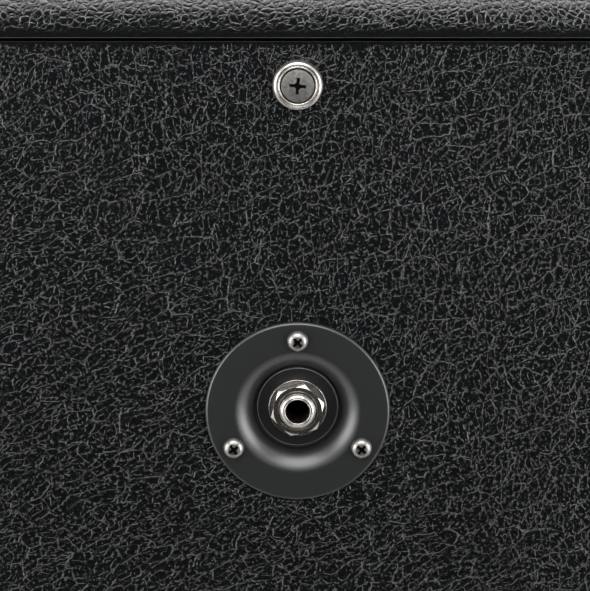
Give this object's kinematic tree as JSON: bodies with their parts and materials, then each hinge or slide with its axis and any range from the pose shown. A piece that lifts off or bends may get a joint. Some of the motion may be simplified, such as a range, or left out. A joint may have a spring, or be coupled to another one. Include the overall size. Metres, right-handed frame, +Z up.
{
  "type": "bass speaker cabinet",
  "caption": "Vinyl-covered box that holds a bass driver and ports behind a cloth grille, with side handles, corner caps, feet and a jack in a round dish on the back.",
  "frame": {"origin": "on the floor under the middle of the box", "axes": "+Z up, the grille faces -Y, the rear panel with the jack faces +Y, +X to the right seen from the front"},
  "size_m": [0.6042, 0.4042, 0.6221],
  "materials": {
    "grained_black_vinyl": "satin embossed vinyl with a leather-like grain",
    "birch_plywood": "bare birch plywood",
    "black_painted_plywood": "black painted plywood",
    "black_painted_steel": "satin black powder coat on pressed steel",
    "bright_nickel": "bright nickel plate",
    "zinc_plated_steel": "dull zinc plate",
    "phosphor_bronze": "rolled spring bronze",
    "black_rubber": "moulded black rubber",
    "black_plastic": "textured black moulded plastic",
    "paper_pulp": "black felted paper pulp",
    "treated_cloth": "doped cloth",
    "copper_winding": "enamelled copper wire",
    "ferrite": "sintered ferrite",
    "grille_weave": "woven black grille cloth",
    "hook_and_loop": "black hook and loop tape",
    "polyester_wadding": "white polyester wadding",
    "lead_jacket": "soft black cable jacket"
  },
  "bodies": {
    "cabinet": {"top_board": "birch_plywood", "bottom_board": "birch_plywood", "left_board": "birch_plywood", "right_board": "birch_plywood", "shell_covering": "grained_black_vinyl", "baffle_board": "black_painted_plywood", "rear_panel": "birch_plywood", "rear_panel_covering": "grained_black_vinyl", "rear_batten_top": "birch_plywood", "rear_batten_bottom": "birch_plywood", "rear_batten_left": "birch_plywood", "rear_batten_right": "birch_plywood", "cup_washer_top": "bright_nickel", "rear_screw_top": "zinc_plated_steel", "jack_plate": "black_painted_steel", "jack_plate_screw_top": "bright_nickel", "jack_plate_screw_left": "bright_nickel", "jack_plate_screw_right": "bright_nickel", "jack_frame": "bright_nickel", "jack_washer": "bright_nickel", "jack_nut": "bright_nickel", "speaker_basket": "black_painted_steel", "speaker_surround": "treated_cloth", "speaker_gasket": "black_rubber", "spider": "treated_cloth", "top_plate": "zinc_plated_steel", "magnet": "ferrite", "back_plate": "zinc_plated_steel", "speaker_terminals": "black_plastic", "port_tube_left": "black_plastic", "port_tube_right": "black_plastic", "hook_strip_left": "hook_and_loop", "hook_strip_right": "hook_and_loop", "handle_dish_left": "black_painted_steel", "handle_dish_right": "black_painted_steel", "corner_bottom_front_left": "black_plastic", "corner_bottom_front_right": "black_plastic", "corner_bottom_rear_left": "black_plastic", "corner_bottom_rear_right": "black_plastic", "corner_top_front_left": "black_plastic", "corner_top_front_right": "black_plastic", "corner_top_rear_left": "black_plastic", "corner_top_rear_right": "black_plastic", "foot_front_left": "black_rubber", "foot_front_right": "black_rubber", "foot_rear_left": "black_rubber", "foot_rear_right": "black_rubber", "cross_brace": "birch_plywood", "damping_pad": "polyester_wadding", "speaker_lead": "lead_jacket"},
    "cone": {"speaker_cone": "paper_pulp", "dust_cap": "paper_pulp", "voice_coil": "copper_winding"},
    "grille": {"grille_frame": "black_painted_plywood", "grille_cloth": "grille_weave"},
    "handle_left": {"handle_bail_left": "zinc_plated_steel", "handle_grip_left": "black_rubber"},
    "handle_right": {"handle_bail_right": "zinc_plated_steel", "handle_grip_right": "black_rubber"},
    "tip_contact": {"jack_tip_spring": "phosphor_bronze"}
  },
  "joints": [
    {"name": "cone_travel", "type": "slide", "parent": "cabinet", "child": "cone", "axis": [0, -1, 0], "range_m": [-0.006, 0.006], "stiffness_N_per_m": 4000, "deforming": ["speaker_surround", "spider"]},
    {"name": "grille_pull", "type": "slide", "parent": "cabinet", "child": "grille", "axis": [0, -1, 0], "range_m": [0, 0.06]},
    {"name": "handle_left_swing", "type": "hinge", "parent": "cabinet", "child": "handle_left", "pos_m": [-0.2936, 0, 0.3795], "axis": [0, 1, 0], "range_deg": [0, 90]},
    {"name": "handle_right_swing", "type": "hinge", "parent": "cabinet", "child": "handle_right", "pos_m": [0.2936, 0, 0.3795], "axis": [0, -1, 0], "range_deg": [0, 90]},
    {"name": "tip_flex", "type": "hinge", "parent": "cabinet", "child": "tip_contact", "pos_m": [0.01055, 0.1863, 0.5], "axis": [0, 0, 1], "range_deg": [0, 2.5], "stiffness_Nm_per_rad": 0.3}
  ]
}
